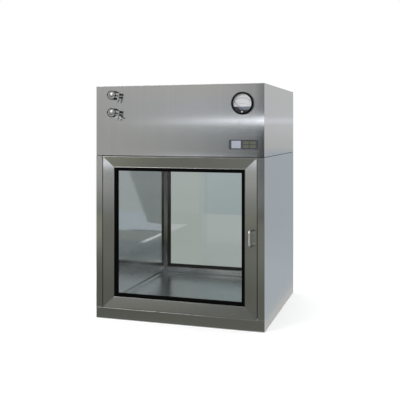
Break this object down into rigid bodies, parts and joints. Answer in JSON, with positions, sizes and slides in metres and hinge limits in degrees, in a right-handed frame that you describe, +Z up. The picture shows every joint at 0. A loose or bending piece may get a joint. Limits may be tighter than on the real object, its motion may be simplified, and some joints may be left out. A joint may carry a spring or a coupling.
{
  "type": "cleanroom pass box",
  "caption": "Stainless cleanroom pass box: hood with gauge, controller and capped test ports above a glazed chamber with opposite interlocked doors.",
  "frame": {"origin": "middle of the plinth's underside, on the floor", "axes": "+Z up, front door towards -Y, +X to the right seen from the front"},
  "size_m": [0.97, 1.003, 1.31],
  "materials": {
    "brushed_stainless": "brushed stainless sheet, vertical grain",
    "door_stainless": "brushed stainless, folded door frame",
    "mirror_stainless": "polished chamber liner",
    "polished_stainless": "polished castings and fittings",
    "galvanised": "galvanised sheet, inside only",
    "black_rubber": "glazing profile",
    "silicone": "translucent silicone seal",
    "clear_glass": "tempered clear glass",
    "filter_paper": "pleated glass fibre paper",
    "anodised": "anodised frame",
    "motor_black": "black powder coat",
    "lamp_tube": "quartz lamp tube",
    "white_plastic": "moulded",
    "grey_plastic": "moulded",
    "gauge_black": "black enamelled die casting",
    "dial_white": "printed dial plate",
    "pointer_red": "painted pointer",
    "lens_clear": "clear acrylic lens",
    "panel_black": "moulded bezel",
    "screen_glass": "display window",
    "key_rubber": "rubber keys"
  },
  "bodies": {
    "cabinet": {"base_plinth": "brushed_stainless", "left_side_panel": "brushed_stainless", "right_side_panel": "brushed_stainless", "deck_panel": "brushed_stainless", "chamber_liner": "mirror_stainless", "front_seal_frame": "brushed_stainless", "rear_seal_frame": "brushed_stainless", "door_seals": "silicone", "door_magnets": "grey_plastic", "door_pivot_pins": "polished_stainless", "upper_housing": "brushed_stainless", "roof_panel": "brushed_stainless", "roof_screws": "polished_stainless", "cable_gland": "grey_plastic", "diffuser_screen": "brushed_stainless", "filter_gasket": "silicone", "filter_frame": "anodised", "filter_media": "filter_paper", "supply_plenum": "galvanised", "blower_inlet": "galvanised", "blower_motor": "motor_black", "motor_hanger": "galvanised", "return_grille": "brushed_stainless", "germicidal_lamp": "lamp_tube", "lamp_holders": "white_plastic", "electrical_enclosure": "grey_plastic", "gauge_case": "gauge_black", "gauge_bezel": "gauge_black", "gauge_dial": "dial_white", "gauge_lens": "lens_clear", "controller_body": "panel_black", "controller_screen": "screen_glass", "port_ferrules": "polished_stainless", "port_gaskets": "silicone", "port_caps": "polished_stainless", "clamp_eye_jaws": "polished_stainless", "clamp_fork_jaws": "polished_stainless", "clamp_pins": "polished_stainless", "clamp_bolts": "polished_stainless"},
    "front_door": {"front_door_frame": "door_stainless", "front_door_back": "brushed_stainless", "front_glazing_gasket": "black_rubber", "front_door_glass": "clear_glass", "front_door_handle": "polished_stainless", "front_armature": "galvanised"},
    "rear_door": {"rear_door_frame": "door_stainless", "rear_door_back": "brushed_stainless", "rear_glazing_gasket": "black_rubber", "rear_door_glass": "clear_glass", "rear_door_handle": "polished_stainless", "rear_armature": "galvanised"},
    "impeller": {"impeller": "grey_plastic"},
    "gauge_pointer": {"gauge_pointer": "pointer_red"},
    "gauge_zero_screw": {"gauge_zero_screw": "white_plastic"},
    "upper_wing_nut": {"upper_wing_nut": "polished_stainless"},
    "lower_wing_nut": {"lower_wing_nut": "polished_stainless"},
    "controller_key_top_left": {"controller_key_top_left": "key_rubber"},
    "controller_key_top_right": {"controller_key_top_right": "key_rubber"},
    "controller_key_bottom_left": {"controller_key_bottom_left": "key_rubber"},
    "controller_key_bottom_right": {"controller_key_bottom_right": "key_rubber"}
  },
  "joints": [
    {"name": "front_door_pivot", "type": "hinge", "parent": "cabinet", "child": "front_door", "pos_m": [-0.4275, -0.4475, 0.49], "axis": [0, 0, -1], "range_deg": [0, 110]},
    {"name": "rear_door_pivot", "type": "hinge", "parent": "cabinet", "child": "rear_door", "pos_m": [0.4275, 0.4475, 0.49], "axis": [0, 0, -1], "range_deg": [0, 110]},
    {"name": "impeller_spin", "type": "hinge", "parent": "cabinet", "child": "impeller", "pos_m": [0, 0, 1.09], "axis": [0, 0, 1], "continuous": true},
    {"name": "gauge_pointer_swing", "type": "hinge", "parent": "cabinet", "child": "gauge_pointer", "pos_m": [0.367, -0.4654, 1.171], "axis": [0, 1, 0], "range_deg": [0, 90], "stiffness_Nm_per_rad": 0.0005},
    {"name": "gauge_zero_turn", "type": "hinge", "parent": "cabinet", "child": "gauge_zero_screw", "pos_m": [0.367, -0.47, 1.16], "axis": [0, -1, 0], "range_deg": [-180, 180]},
    {"name": "key_top_left_press", "type": "slide", "parent": "cabinet", "child": "controller_key_top_left", "axis": [0, 1, 0], "range_m": [0, 0.0005], "stiffness_N_per_m": 600},
    {"name": "key_top_right_press", "type": "slide", "parent": "cabinet", "child": "controller_key_top_right", "axis": [0, 1, 0], "range_m": [0, 0.0005], "stiffness_N_per_m": 600},
    {"name": "key_bottom_left_press", "type": "slide", "parent": "cabinet", "child": "controller_key_bottom_left", "axis": [0, 1, 0], "range_m": [0, 0.0005], "stiffness_N_per_m": 600},
    {"name": "key_bottom_right_press", "type": "slide", "parent": "cabinet", "child": "controller_key_bottom_right", "axis": [0, 1, 0], "range_m": [0, 0.0005], "stiffness_N_per_m": 600},
    {"name": "upper_wing_nut_spin", "type": "hinge", "parent": "cabinet", "child": "upper_wing_nut", "pos_m": [-0.33794, -0.4799, 1.24126], "axis": [-0.1392, 0, -0.9903], "continuous": true},
    {"name": "lower_wing_nut_spin", "type": "hinge", "parent": "cabinet", "child": "lower_wing_nut", "pos_m": [-0.33794, -0.4799, 1.14326], "axis": [-0.1392, 0, -0.9903], "continuous": true}
  ]
}
